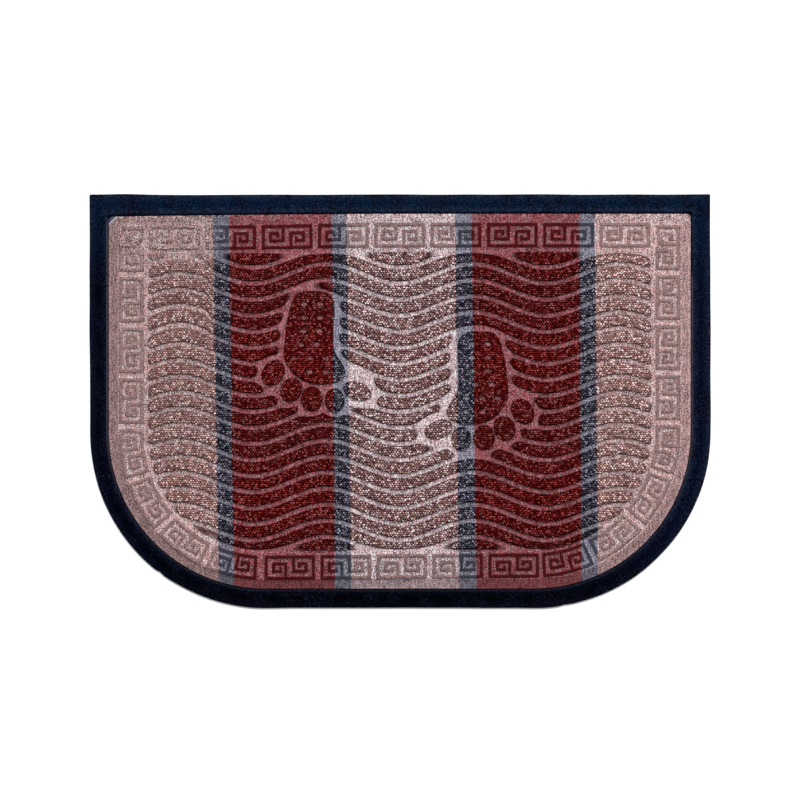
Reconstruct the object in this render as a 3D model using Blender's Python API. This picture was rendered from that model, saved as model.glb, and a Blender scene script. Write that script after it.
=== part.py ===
"""Half-round doormat: a moulded rubber tray with a raised border, and a striped carpet panel
pressed with wave ribs, a key-pattern band and two footprints.

Metres. The origin is at the bottom centre of the mat, +X along its width, +Y towards the
straight edge and +Z up. Insets are measured inwards from the mat's outer outline.
"""

import math

import bmesh
import bpy
from mathutils import Vector
from mathutils.geometry import delaunay_2d_cdt

# Outline of the mat
MAT_WIDTH = 0.600
MAT_DEPTH = 0.400
CORNER_RADIUS = 0.170
CORNER_STEPS = 16
PANEL_GAP = 0.0003

# Rubber tray: heights above the floor
BACKING_HEIGHT = 0.0015
BORDER_WIDTH = 0.0186

# Carpet panel: heights above the floor
GROUND_HEIGHT = 0.0038
PILE_HEIGHT = 0.0063
PANEL_TOP_CORNER = 0.004
PANEL_TOP_CORNER_STEPS = 2
CUTTER_HEIGHT = 0.0126

# Key-pattern band
KEY_OUTER_INSET = 0.0285
KEY_INNER_INSET = 0.0530
KEY_LINE_WIDTH = 0.0031
KEY_GAP = 0.0052
KEY_COLUMNS = 7
KEY_ROWS = 3
KEY_HOOK = ((3, 0), (3, 2), (1, 2), (1, 1), (2.25, 1))
TOP_KEYS = 9
SIDE_KEYS = 4
SIDE_KEY_PERIOD = 0.0483
CORNER_KEYS = 4
BOTTOM_KEYS = 5
BOTTOM_KEY_PERIOD = 0.0541
LONGEST_STRAIGHT_EDGE = 0.060
LONGEST_BENT_EDGE = 0.017

# Wave ribs
FIELD_INSET = 0.057
WAVE_PITCH = 0.0155
WAVE_HEIGHT = 0.0094
WAVE_PERIOD = 0.1417
WAVE_FIRST_CHANNEL = 0.1293
WAVE_CHANNEL_WIDTH = 0.0043
WAVE_CHANNELS = 19
WAVE_STEPS = (0.0, 0.211, 0.5, 0.789)
SMALLEST_RIB_AREA = 0.00004

# Footprints: the left one, measured across from its axis and down from its heel
LEFT_HEEL = (-0.0847, 0.1065)
RIGHT_HEEL = (0.0776, 0.0678)
FOOT_CLEARANCE = 0.0045
SOLE_LENGTH = 0.090
SOLE_TIP_SHIFT = 0.010
SOLE_STEPS = 2
TOE_SIDES = 12
DOT_SIDES = 6
DOT_HALF_WIDTH = 0.0033
DOT_HALF_HEIGHT = 0.0022
DOT_SPACING = 0.0155

# Each row: distance down from the heel, then the outer and the inner edge of the sole
SOLE_ROWS = (
    {"down": 0.010, "outer": -0.0190, "inner": 0.0180},
    {"down": 0.030, "outer": -0.0240, "inner": 0.0205},
    {"down": 0.052, "outer": -0.0265, "inner": 0.0215},
    {"down": 0.070, "outer": -0.0225, "inner": 0.0310},
    {"down": 0.083, "outer": -0.0085, "inner": 0.0290},
)

# Each row: a toe's centre, its half length and half width, and its tilt in degrees
TOES = (
    {"across": -0.0391, "down": 0.0782, "long": 0.0130, "short": 0.0100, "tilt": 57},
    {"across": -0.0217, "down": 0.0947, "long": 0.0120, "short": 0.0097, "tilt": 66},
    {"across": -0.0019, "down": 0.1034, "long": 0.0119, "short": 0.0103, "tilt": 90},
    {"across": 0.0203, "down": 0.1048, "long": 0.0113, "short": 0.0093, "tilt": 90},
    {"across": 0.0420, "down": 0.0956, "long": 0.0138, "short": 0.0087, "tilt": -20},
)

# Each row: distance down from the heel, place of the row's first dot, and number of dots
DOT_ROWS = (
    {"down": 0.0126, "first": -0.0077, "count": 2},
    {"down": 0.0256, "first": -0.0077, "count": 2},
    {"down": 0.0386, "first": -0.0083, "count": 2},
    {"down": 0.0517, "first": -0.0110, "count": 2},
    {"down": 0.0647, "first": -0.0174, "count": 3},
    {"down": 0.0780, "first": -0.0025, "count": 2},
)

# Each row: a step inwards over the border's face, and its rise
BORDER_STEPS = (
    {"inward": 0.0004, "rise": 0.0009},
    {"inward": 0.0010, "rise": 0.0007},
    {"inward": 0.0021, "rise": 0.0004},
    {"inward": 0.0105, "rise": 0.0007},
    {"inward": 0.0010, "rise": 0.0008},
    {"inward": 0.0016, "rise": 0.0001},
    {"inward": 0.0009, "rise": -0.0006},
)
BORDER_FOOT_HEIGHT = 0.0014

# How flat shapes are filled: only inside their outlines and not in their holes
INSIDE_WITH_HOLES = 2
FILL_TOLERANCE = 1e-7

# Centre of the round corner on the right, and the key band's middle line on a side and corner
CENTRE_X = MAT_WIDTH / 2 - CORNER_RADIUS
CENTRE_Y = -MAT_DEPTH / 2 + CORNER_RADIUS
BAND_STRAIGHT = MAT_DEPTH / 2 - KEY_OUTER_INSET - CENTRE_Y
BAND_MIDDLE_RADIUS = CORNER_RADIUS - (KEY_OUTER_INSET + KEY_INNER_INSET) / 2


def clear_scene():
    for obj in list(bpy.data.objects):
        bpy.data.objects.remove(obj, do_unlink=True)


def new_collection(name):
    collection = bpy.data.collections.new(name)
    bpy.context.scene.collection.children.link(collection)
    return collection


def principled(name, color, roughness):
    material = bpy.data.materials.new(name)
    material.use_nodes = True
    shader = material.node_tree.nodes["Principled BSDF"]
    shader.inputs["Base Color"].default_value = (*color, 1.0)
    shader.inputs["Roughness"].default_value = roughness
    shader.inputs["Metallic"].default_value = 0.0
    return material


def arc(centre, radius, start, end, steps):
    """Points on an arc from one angle to the other, both ends included."""
    angles = [start + (end - start) * step / steps for step in range(steps + 1)]
    return [(centre[0] + radius * math.cos(a), centre[1] + radius * math.sin(a)) for a in angles]


def mat_outline(inset, top_corner=0.0):
    """The mat's outline moved inwards, counter-clockwise from its top right corner."""
    half_width = MAT_WIDTH / 2 - inset
    half_depth = MAT_DEPTH / 2 - inset
    radius = CORNER_RADIUS - inset
    if top_corner:
        x = half_width - top_corner
        y = half_depth - top_corner
        top = arc((x, y), top_corner, 0, math.pi / 2, PANEL_TOP_CORNER_STEPS)
        top += arc((-x, y), top_corner, math.pi / 2, math.pi, PANEL_TOP_CORNER_STEPS)
    else:
        top = [(half_width, half_depth), (-half_width, half_depth)]
    left = arc((-CENTRE_X, CENTRE_Y), radius, math.pi, 1.5 * math.pi, CORNER_STEPS)
    right = arc((CENTRE_X, CENTRE_Y), radius, 1.5 * math.pi, 2 * math.pi, CORNER_STEPS)
    return top + left + right


def ellipse(centre, long, short, tilt, sides):
    """A polygon round an ellipse, whose long axis is turned by tilt from +X."""
    points = []
    for side in range(sides):
        angle = 2 * math.pi * side / sides
        x = long * math.cos(angle)
        y = short * math.sin(angle)
        points.append((
            centre[0] + x * math.cos(tilt) - y * math.sin(tilt),
            centre[1] + x * math.sin(tilt) + y * math.cos(tilt),
        ))
    return points


def smooth_loop(knots, steps):
    """A smooth closed line through the knots, with this many points for each knot."""
    points = []
    for place in range(len(knots)):
        before, here, there, after = (knots[(place + shift) % len(knots)] for shift in (-1, 0, 1, 2))
        for step in range(steps):
            t = step / steps
            points.append(tuple(
                here[axis]
                + t * (there[axis] - before[axis]) / 2
                + t * t * (2 * before[axis] - 5 * here[axis] + 4 * there[axis] - after[axis]) / 2
                + t ** 3 * (3 * here[axis] - before[axis] - 3 * there[axis] + after[axis]) / 2
                for axis in (0, 1)
            ))
    return points


def prism(name, outlines, low, high, collection):
    """A flat shape thickened from low to high. An outline inside another is a hole in it."""
    corners = [Vector(point) for outline in outlines for point in outline]
    loops = []
    for outline in outlines:
        first = loops[-1][-1] + 1 if loops else 0
        loops.append(list(range(first, first + len(outline))))
    corners, _, faces, *_ = delaunay_2d_cdt(corners, [], loops, INSIDE_WITH_HOLES, FILL_TOLERANCE)
    shape = bmesh.new()
    verts = [shape.verts.new((x, y, low)) for x, y in corners]
    base = [shape.faces.new([verts[corner] for corner in face]) for face in faces]
    grown = bmesh.ops.extrude_face_region(shape, geom=base, use_keep_orig=True)
    lifted = [item for item in grown["geom"] if isinstance(item, bmesh.types.BMVert)]
    bmesh.ops.translate(shape, vec=(0, 0, high - low), verts=lifted)
    bmesh.ops.recalc_face_normals(shape, faces=shape.faces)
    mesh = bpy.data.meshes.new(name)
    shape.to_mesh(mesh)
    shape.free()
    solid = bpy.data.objects.new(name, mesh)
    collection.objects.link(solid)
    return solid


def boolean(target, tool, operation):
    modifier = target.modifiers.new(f"{operation.lower()}_{tool.name}", "BOOLEAN")
    modifier.operation = operation
    modifier.solver = "EXACT"
    modifier.object = tool


def leave_out_scraps(pieces, smallest):
    """Makes the trimmed pieces a mesh of its own, without those whose top is this small."""
    bpy.context.view_layer.update()
    graph = bpy.context.evaluated_depsgraph_get()
    mesh = bpy.data.meshes.new_from_object(pieces.evaluated_get(graph))
    pieces.modifiers.clear()
    pieces.data = mesh
    shape = bmesh.new()
    shape.from_mesh(mesh)
    waiting = set(shape.faces)
    while waiting:
        piece = [waiting.pop()]
        for face in piece:
            near = {other for edge in face.edges for other in edge.link_faces} & waiting
            waiting -= near
            piece.extend(near)
        top_area = sum(face.calc_area() for face in piece if face.normal.z > 0.5)
        if top_area < smallest:
            bmesh.ops.delete(shape, geom=piece, context="FACES")
    shape.to_mesh(mesh)
    shape.free()


def make_tray(collection):
    """The backing sheet and the border in one, from one face extruded and stepped inwards."""
    shape = bmesh.new()
    base = shape.faces.new([shape.verts.new((x, y, 0)) for x, y in mat_outline(0)])
    grown = bmesh.ops.extrude_face_region(shape, geom=[base], use_keep_orig=True)
    top = next(item for item in grown["geom"] if isinstance(item, bmesh.types.BMFace))
    bmesh.ops.translate(shape, vec=(0, 0, BORDER_FOOT_HEIGHT), verts=top.verts)
    steps = list(BORDER_STEPS)
    stepped = sum(step["inward"] for step in steps)
    risen = BORDER_FOOT_HEIGHT + sum(step["rise"] for step in steps)
    steps.append({"inward": BORDER_WIDTH - stepped, "rise": BACKING_HEIGHT - risen})
    for step in steps:
        bmesh.ops.inset_region(
            shape,
            faces=[top],
            thickness=step["inward"],
            depth=step["rise"],
            use_even_offset=True,
            use_boundary=True,
        )
    bmesh.ops.recalc_face_normals(shape, faces=shape.faces)
    mesh = bpy.data.meshes.new("rubber_tray")
    shape.to_mesh(mesh)
    shape.free()
    tray = bpy.data.objects.new("rubber_tray", mesh)
    collection.objects.link(tray)
    tray.data.materials.append(principled("moulded_rubber", (0.006, 0.008, 0.015), 0.55))
    return tray


def stroke_sides(path, half_width):
    """The two edges of a line of this width along a path, mitred at its corners."""
    normals = []
    for (x0, y0), (x1, y1) in zip(path, path[1:]):
        length = math.hypot(x1 - x0, y1 - y0)
        normals.append(((y0 - y1) / length, (x1 - x0) / length))
    corners = list(zip([normals[0]] + normals, normals + [normals[-1]]))
    left = []
    right = []
    for (x, y), (before, after) in zip(path, corners):
        scale = half_width / (1 + before[0] * after[0] + before[1] * after[1])
        dx = (before[0] + after[0]) * scale
        dy = (before[1] + after[1]) * scale
        left.append((x + dx, y + dy))
        right.append((x - dx, y - dy))
    return left, right


def key_unit(length, height):
    """The outer and inner loop of one key: a frame with two hooks that turn inwards."""
    half = KEY_LINE_WIDTH / 2
    column = (length - 2 * half) / KEY_COLUMNS
    row = (height - 2 * half) / KEY_ROWS
    hook = [(half + column * u, half + row * v) for u, v in KEY_HOOK]
    hook[0] = (hook[0][0], 2 * half)
    left, right = stroke_sides(hook, half)
    first = left + right[::-1]
    second = [(length - u, height - v) for u, v in first]
    low = 2 * half
    outer = [(0, 0), (length, 0), (length, height), (0, height)]
    inner = [(low, low)] + first + [(length - low, low)]
    inner += [(length - low, height - low)] + second + [(low, height - low)]
    return outer, inner


def split_long_edges(outline, longest):
    points = []
    for (x0, y0), (x1, y1) in zip(outline, outline[1:] + outline[:1]):
        pieces = max(1, math.ceil(math.hypot(x1 - x0, y1 - y0) / longest - 1e-6))
        for piece in range(pieces):
            share = piece / pieces
            points.append((x0 + (x1 - x0) * share, y0 + (y1 - y0) * share))
    return points


def point_on_top_band(along, inset):
    """A place on the top band, measured from the mat's middle."""
    return along, MAT_DEPTH / 2 - inset


def point_on_round_band(along, inset):
    """A place on the left band, measured down from the band's top, round the corner and on."""
    radius = CORNER_RADIUS - inset
    turn = (along - BAND_STRAIGHT) / BAND_MIDDLE_RADIUS
    if turn <= 0:
        return -CENTRE_X - radius, CENTRE_Y + BAND_STRAIGHT - along
    if turn >= math.pi / 2:
        past = along - BAND_STRAIGHT - BAND_MIDDLE_RADIUS * math.pi / 2
        return -CENTRE_X + past, CENTRE_Y - radius
    return -CENTRE_X - radius * math.cos(turn), CENTRE_Y - radius * math.sin(turn)


def key_loops(start, period, place, longest, mirrored=False):
    """The loops of the key that starts here, bent and placed on its band."""
    loops = []
    for loop in key_unit(period - KEY_GAP, KEY_INNER_INSET - KEY_OUTER_INSET):
        loop = split_long_edges(loop, longest)
        loop = [place(start + KEY_GAP / 2 + u, KEY_OUTER_INSET + v) for u, v in loop]
        if mirrored:
            loop = [(-x, y) for x, y in loop]
        loops.append(loop)
    return loops


def band_loops():
    """Every key: those along the top, then both sides with their corners, and the bottom."""
    loops = []
    top_span = MAT_WIDTH - 2 * KEY_INNER_INSET - KEY_GAP
    period = top_span / TOP_KEYS
    for key in range(TOP_KEYS):
        start = -top_span / 2 + key * period
        loops += key_loops(start, period, point_on_top_band, LONGEST_STRAIGHT_EDGE)

    for key in range(SIDE_KEYS):
        start = key * SIDE_KEY_PERIOD - KEY_GAP / 2
        for mirrored in (False, True):
            loops += key_loops(
                start, SIDE_KEY_PERIOD, point_on_round_band, LONGEST_STRAIGHT_EDGE, mirrored
            )

    corner_start = SIDE_KEYS * SIDE_KEY_PERIOD - KEY_GAP / 2
    middle = BAND_STRAIGHT + BAND_MIDDLE_RADIUS * math.pi / 2 + CENTRE_X
    bottom_start = middle - BOTTOM_KEYS * BOTTOM_KEY_PERIOD / 2
    period = (bottom_start - corner_start) / CORNER_KEYS
    for key in range(CORNER_KEYS):
        start = corner_start + key * period
        for mirrored in (False, True):
            loops += key_loops(start, period, point_on_round_band, LONGEST_BENT_EDGE, mirrored)

    for key in range(BOTTOM_KEYS):
        start = bottom_start + key * BOTTOM_KEY_PERIOD
        loops += key_loops(start, BOTTOM_KEY_PERIOD, point_on_round_band, LONGEST_STRAIGHT_EDGE)
    return loops


def channel_y(x, channel):
    """Height on the mat of a wave channel's middle line."""
    lift = WAVE_HEIGHT * (1 - math.cos(2 * math.pi * x / WAVE_PERIOD))
    return WAVE_FIRST_CHANNEL - WAVE_PITCH * channel + lift


def rib_loops():
    """A wavy strip between each two channels, wider than the field that trims it."""
    reach = MAT_WIDTH / 2 - FIELD_INSET
    half_periods = math.ceil(reach / (WAVE_PERIOD / 2))
    xs = [
        (half + step) * WAVE_PERIOD / 2
        for half in range(-half_periods, half_periods)
        for step in WAVE_STEPS
    ]
    xs.append(half_periods * WAVE_PERIOD / 2)
    side = WAVE_CHANNEL_WIDTH / 2
    channels = [[channel_y(x, channel) for x in xs] for channel in range(WAVE_CHANNELS)]
    above = [y + 2 * WAVE_PITCH for y in channels[0]]
    below = [y - 2 * WAVE_PITCH for y in channels[-1]]
    loops = []
    for upper, lower in zip([above] + channels, channels + [below]):
        edge = [(x, y + side) for x, y in zip(xs, lower)]
        edge += [(x, y - side) for x, y in zip(xs[::-1], upper[::-1])]
        loops.append(edge)
    return loops


def sole_outline(grow):
    """The sole's smooth outline, from its heel down one side and up the other."""
    outer = [(row["outer"] - grow, row["down"]) for row in SOLE_ROWS]
    inner = [(row["inner"] + grow, row["down"]) for row in SOLE_ROWS]
    knots = [(0, -grow)] + outer + [(SOLE_TIP_SHIFT, SOLE_LENGTH + grow)] + inner[::-1]
    return smooth_loop(knots, SOLE_STEPS)


def place_foot(outline, heel, mirrored):
    turn = -1 if mirrored else 1
    return [(heel[0] + turn * across, heel[1] - down) for across, down in outline]


def toe_outlines(grow):
    outlines = []
    for toe in TOES:
        tilt = -math.radians(toe["tilt"])
        centre = (toe["across"], toe["down"])
        outlines.append(ellipse(centre, toe["long"] + grow, toe["short"] + grow, tilt, TOE_SIDES))
    return outlines


def dot_outlines():
    outlines = []
    for row in DOT_ROWS:
        for place in range(row["count"]):
            centre = (row["first"] + place * DOT_SPACING, row["down"])
            outlines.append(ellipse(centre, DOT_HALF_WIDTH, DOT_HALF_HEIGHT, 0, DOT_SIDES))
    return outlines


def make_carpet(collection, cutters):
    """The pressed ground with its ribs, keys and footprints raised on it."""
    low = BACKING_HEIGHT + PANEL_GAP
    sunk = (low + GROUND_HEIGHT) / 2
    panel_inset = BORDER_WIDTH + PANEL_GAP
    carpet = prism(
        "carpet_panel",
        [mat_outline(panel_inset, PANEL_TOP_CORNER)],
        low,
        GROUND_HEIGHT,
        collection,
    )
    ribs = prism("wave_ribs", rib_loops(), sunk, PILE_HEIGHT, cutters)
    field = prism("wave_field", [mat_outline(FIELD_INSET)], 0, CUTTER_HEIGHT, cutters)
    boolean(ribs, field, "INTERSECT")
    raised = [ribs, prism("key_band", band_loops(), sunk, PILE_HEIGHT, cutters)]
    for side, heel, mirrored in (("left", LEFT_HEEL, False), ("right", RIGHT_HEEL, True)):
        sole = prism(
            f"{side}_sole",
            [place_foot(sole_outline(0), heel, mirrored)],
            sunk,
            PILE_HEIGHT,
            cutters,
        )
        dots = prism(
            f"{side}_dots",
            [place_foot(dot, heel, mirrored) for dot in dot_outlines()],
            GROUND_HEIGHT,
            CUTTER_HEIGHT,
            cutters,
        )
        boolean(sole, dots, "DIFFERENCE")
        toes = prism(
            f"{side}_toes",
            [place_foot(toe, heel, mirrored) for toe in toe_outlines(0)],
            sunk,
            PILE_HEIGHT,
            cutters,
        )
        sole_room = prism(
            f"{side}_sole_room",
            [place_foot(sole_outline(FOOT_CLEARANCE), heel, mirrored)],
            0,
            CUTTER_HEIGHT,
            cutters,
        )
        boolean(ribs, sole_room, "DIFFERENCE")
        for number, toe in enumerate(toe_outlines(FOOT_CLEARANCE), 1):
            toe_room = prism(
                f"{side}_toe_room_{number}",
                [place_foot(toe, heel, mirrored)],
                0,
                CUTTER_HEIGHT,
                cutters,
            )
            boolean(ribs, toe_room, "DIFFERENCE")
        raised += [sole, toes]
    leave_out_scraps(ribs, SMALLEST_RIB_AREA)
    for relief in raised:
        boolean(carpet, relief, "UNION")
    carpet.data.materials.append(principled("looped_carpet", (0.16, 0.07, 0.07), 0.95))
    return carpet


def main():
    clear_scene()
    parts = new_collection("doormat")
    cutters = new_collection("cutters")
    cutters.hide_render = True
    make_tray(parts)
    make_carpet(parts, cutters)
    for guide in cutters.objects:
        guide.hide_render = True
        guide.display_type = "WIRE"


main()
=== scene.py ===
import math

import bmesh
import bpy
import numpy as np
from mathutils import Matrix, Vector, noise
from mathutils.geometry import delaunay_2d_cdt


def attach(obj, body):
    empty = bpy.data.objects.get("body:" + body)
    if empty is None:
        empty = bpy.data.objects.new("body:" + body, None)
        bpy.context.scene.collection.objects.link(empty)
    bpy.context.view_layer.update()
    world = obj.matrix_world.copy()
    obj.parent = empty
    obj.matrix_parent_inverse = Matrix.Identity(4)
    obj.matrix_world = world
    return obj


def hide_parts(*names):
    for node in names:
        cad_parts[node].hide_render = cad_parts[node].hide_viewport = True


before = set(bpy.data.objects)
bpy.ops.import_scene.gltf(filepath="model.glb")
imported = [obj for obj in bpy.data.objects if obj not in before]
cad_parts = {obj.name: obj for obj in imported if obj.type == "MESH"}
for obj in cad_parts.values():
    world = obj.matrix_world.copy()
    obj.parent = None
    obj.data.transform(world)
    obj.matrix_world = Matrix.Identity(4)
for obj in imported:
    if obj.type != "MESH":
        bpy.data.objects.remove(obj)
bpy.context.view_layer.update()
print("frame loaded:", ", ".join(sorted(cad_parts)))

mm = 0.001  # sizes are in millimetres up to the mesh, which is in metres
farAway = 50.0  # further than anything in the pattern reaches


def ease(x):
    # from 0 to 1 with soft ends
    x = np.clip(x, 0, 1)
    return x * x * (3 - 2 * x)


def softMin(a, b, rounding):
    # the smaller of two depths, rounded off where they are alike
    share = np.clip(0.5 + 0.5 * (b - a) / rounding, 0, 1)
    return b + (a - b) * share - rounding * share * (1 - share)


def table(columns, *rows):
    # each row's values under the columns' names
    return [dict(zip(columns.split(), row)) for row in rows]


# the mat's outline: straight at the top, with two wide bends at the bottom
mat = {
    "width": 600,
    "depth": 400,
    "bendRadius": 170,
    "bendSteps": 56,
    "cornerSteps": 5,
    "straightStep": 7,
    "mouthDrop": 3,
    "mouthDropTop": 170,
    "mouthDropFade": 8,
    "mouthDropBend": 1.5,
}
halfX = mat["width"] / 2
halfY = mat["depth"] / 2
bendX = halfX - mat["bendRadius"]
bendY = mat["bendRadius"] - halfY


def arcPoints(centre, radius, start, end, steps):
    turn = np.linspace(start, end, steps + 1)
    return np.stack([centre[0] + radius * np.cos(turn), centre[1] + radius * np.sin(turn)], 1)


def matOutline(inset, topCorner):
    # counter-clockwise, with as many points at one inset as at another
    x, y = halfX - inset, halfY - inset
    radius = mat["bendRadius"] - inset
    quarter = math.pi / 2
    bends = [
        arcPoints((x - topCorner, y - topCorner), topCorner, 0, quarter, mat["cornerSteps"]),
        arcPoints((topCorner - x, y - topCorner), topCorner, quarter, 2 * quarter, mat["cornerSteps"]),
        arcPoints((-bendX, bendY), radius, 2 * quarter, 3 * quarter, mat["bendSteps"]),
        arcPoints((bendX, bendY), radius, 3 * quarter, 4 * quarter, mat["bendSteps"]),
    ]
    lengths = [mat["width"], halfY - bendY, 2 * bendX, halfY - bendY]
    outline = []
    for bent, following, length in zip(bends, bends[1:] + bends[:1], lengths):
        shares = np.linspace(0, 1, round(length / mat["straightStep"]) + 1)[1:-1, None]
        outline += [bent, bent[-1] + (following[0] - bent[-1]) * shares]
    return np.concatenate(outline)


def insideMat(x, y):
    # how far a place lies inside the mat's outline
    side, top, bottom = halfX - abs(x), halfY - y, halfY + y
    corner = mat["bendRadius"] - np.hypot(abs(x) - bendX, y - bendY)
    plain = np.minimum(np.minimum(side, top), bottom)
    return np.where((abs(x) > bendX) & (y < bendY), corner, plain)


def mouthDrop(x, y):
    # how much lower the top edge of the border's mouth and of the carpet lies, towards the left
    share = np.clip(-x / halfX, 0, 1) ** mat["mouthDropBend"]
    return mat["mouthDrop"] * share * ease((y - mat["mouthDropTop"]) / mat["mouthDropFade"] + 0.5)


def addObject(name, data):
    thing = bpy.data.objects.new(name, data)
    bpy.context.scene.collection.objects.link(thing)
    return thing


def newMesh(name, places, faces):
    mesh = bpy.data.meshes.new(name)
    mesh.from_pydata([tuple(place) for place in places], [], faces)
    mesh.shade_smooth()
    return addObject(name, mesh)


# the wave ribs, told apart by channels
waves = {
    "pitch": 15.5,
    "height": 9.4,
    "period": 141.7,
    "firstChannel": 129.3,
    "channelWidth": 4.3,
    "channels": 19,
    "fieldInset": 57,
    "fieldCorner": 0.5,
    "endRounding": 4,
    "tipRounding": 7.5,
    "tipsFrom": 115,
    "tipsFade": 15,
    "plainTipsFrom": 145,
    "plainTipsFade": 10,
    "footRounding": 6,
    "lift": 6.2,
    "liftRight": -179,
    "liftRightFade": 10,
    "liftBottom": 52,
    "liftBottomFade": 46,
    "liftSteps": 3,
    "lineStep": 2.2,
}


def channelLift(x):
    return waves["height"] * (1 - np.cos(2 * math.pi * x / waves["period"]))


def channelSlope(x):
    turn = 2 * math.pi / waves["period"]
    return waves["height"] * turn * np.sin(turn * x)


def farLift(x, y):
    # how much higher the ribs lie towards the far top corner
    lift = waves["lift"] * ease((waves["liftRight"] - x) / waves["liftRightFade"])
    return lift * ease((y - waves["liftBottom"]) / waves["liftBottomFade"])


# how much lower keys and rib ends lie than drawn, since the carpet isn't cut and laid quite true
drops = {
    "topLeft": 0.9,
    "topFall": -2.3,
    "topSpan": 170,
    "bottomMiddle": 0.5,
    "bottomSlope": -0.0085,
    "bottomTo": -60,
    "bottomFade": 180,
    "sideFrom": 245,
    "sideFade": 2,
    "sideBottom": -90,
    "sideBottomFade": 60,
    "leftSide": 4.4,
    "leftSlope": -0.0131,
    "rightSide": 1,
    "leastBelow": 0.3,
    "steps": 4,
}


def patternDrop(x, y):
    top = drops["topLeft"] + drops["topFall"] * ease(x / drops["topSpan"] + 1)
    bottom = drops["bottomMiddle"] + drops["bottomSlope"] * x
    drop = bottom + (top - bottom) * ease((y - drops["bottomTo"]) / drops["bottomFade"])
    side = np.where(x < 0, drops["leftSide"] + drops["leftSlope"] * y, drops["rightSide"])
    atSide = ease((abs(x) - drops["sideFrom"]) / drops["sideFade"])
    atSide = atSide * ease((y - drops["sideBottom"]) / drops["sideBottomFade"])
    return drop + (side - drop) * atSide


def fieldDrop(x, y):
    # the ribs' ends never draw back from the keys
    drop = patternDrop(x, y)
    return np.where(y < 0, np.maximum(drop, drops["leastBelow"]), np.minimum(drop, 0))


def lowered(outline, drop=patternDrop):
    # a drawn outline as it lies on the carpet
    x, drawn = outline.T
    y = drawn
    for _ in range(drops["steps"]):
        y = drawn - drop(x, y)
    return np.stack([x, y], 1)


def fieldDepth(x, y):
    return insideMat(x, y + fieldDrop(x, y)) - waves["fieldInset"]


def fieldOutline(inwards):
    return lowered(matOutline(waves["fieldInset"] + inwards, waves["fieldCorner"]), fieldDrop)


def waveDepth(x, y):
    drop = waves["firstChannel"] + channelLift(x) + farLift(x, y) - y
    channel = np.clip(np.round(drop / waves["pitch"]), 0, waves["channels"] - 1)
    away = abs(drop - channel * waves["pitch"]) / np.hypot(1, channelSlope(x))
    return away - waves["channelWidth"] / 2


# the key-pattern band, with two hooks in each key
keys = {
    "outerInset": 28.9,
    "innerInset": 52.7,
    "lineWidth": 3.3,
    "gap": 5.2,
    "columns": 7,
    "rows": 3,
    "hook": [(2.92, 0), (2.92, 2.03), (1.08, 2.03), (1.08, 0.96), (2.12, 0.96), (2.12, 1.3)],
    "topKeys": 9,
    "sideKeys": 4,
    "sidePeriod": 48.3,
    "cornerKeys": 4,
    "bottomKeys": 5,
    "bottomPeriod": 54.1,
    "bottomShift": 2,
    "reach": 3,
    "bandFrom": 7.2,
    "bandTo": 35.1,
    "bandFade": 0.5,
    "lineStep": 7,
}
keyHeight = keys["innerInset"] - keys["outerInset"]
keyHalf = keys["lineWidth"] / 2
topSpan = mat["width"] - 2 * keys["innerInset"] - keys["gap"]
topPeriod = topSpan / keys["topKeys"]
sideTop = halfY - keys["outerInset"] - bendY
middleRadius = mat["bendRadius"] - (keys["outerInset"] + keys["innerInset"]) / 2
cornerStart = keys["sideKeys"] * keys["sidePeriod"] - keys["gap"] / 2
bottomSpan = keys["bottomKeys"] * keys["bottomPeriod"]
bottomStart = sideTop + middleRadius * math.pi / 2 + bendX - bottomSpan / 2
cornerPeriod = (bottomStart - cornerStart) / keys["cornerKeys"]


def hookPath(length):
    column = (length - 2 * keyHalf) / keys["columns"]
    row = (keyHeight - 2 * keyHalf) / keys["rows"]
    return [(keyHalf + column * u, keyHalf + row * v) for u, v in keys["hook"]]


def keyDepth(u, v, length):
    # inside the lines of one key, u along the band and v across it, with square corners
    uOut = abs(u - length / 2) - (length / 2 - keyHalf)
    vOut = abs(v - keyHeight / 2) - (keyHeight / 2 - keyHalf)
    nearest = np.minimum(np.maximum(abs(uOut), vOut), np.maximum(abs(vOut), uOut))
    path = hookPath(length)
    for (u0, v0), (u1, v1) in zip(path, path[1:]):
        for uHere, vHere in ((u, v), (length - u, keyHeight - v)):
            aside = abs(uHere - np.clip(uHere, min(u0, u1), max(u0, u1)))
            across = abs(vHere - np.clip(vHere, min(v0, v1), max(v0, v1)))
            nearest = np.minimum(nearest, np.maximum(aside, across))
    return keyHalf - nearest


def bandDepth(x, y):
    # inside the lines of whichever key is here
    y = y + patternDrop(x, y)
    v = insideMat(x, y) - keys["outerInset"]
    turn = np.arctan2(bendY - y, np.maximum(abs(x) - bendX, 1e-9))
    along = np.where(
        y >= bendY,
        bendY + sideTop - y,
        np.where(
            abs(x) > bendX,
            sideTop + middleRadius * turn,
            sideTop + middleRadius * math.pi / 2 + bendX - abs(x),
        ),
    )
    shifted = x - keys["bottomShift"]
    runs = [
        ((y > 0) & (abs(x) < topSpan / 2) & (halfY - y < keys["innerInset"] + keys["reach"]),
         (x + topSpan / 2) / topPeriod, topPeriod, halfY - y - keys["outerInset"]),
        ((y < 0) & (along > bottomStart - keys["reach"]) & (abs(shifted) < bottomSpan / 2),
         (shifted + bottomSpan / 2) / keys["bottomPeriod"], keys["bottomPeriod"], v),
        ((along >= cornerStart) & (along <= bottomStart),
         (along - cornerStart) / cornerPeriod, cornerPeriod, v),
        ((along < cornerStart) & (abs(x) > halfX - keys["innerInset"] - keys["reach"]),
         (along + keys["gap"] / 2) / keys["sidePeriod"], keys["sidePeriod"], v),
    ]
    depth = np.full(x.shape, -farAway)
    waiting = np.ones(x.shape, bool)
    for here, place, period, across in runs:
        here = here & waiting
        waiting &= ~here
        u = (place - np.floor(place)) * period - keys["gap"] / 2
        depth = np.where(here, keyDepth(u, across, period - keys["gap"]), depth)
    return depth


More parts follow.
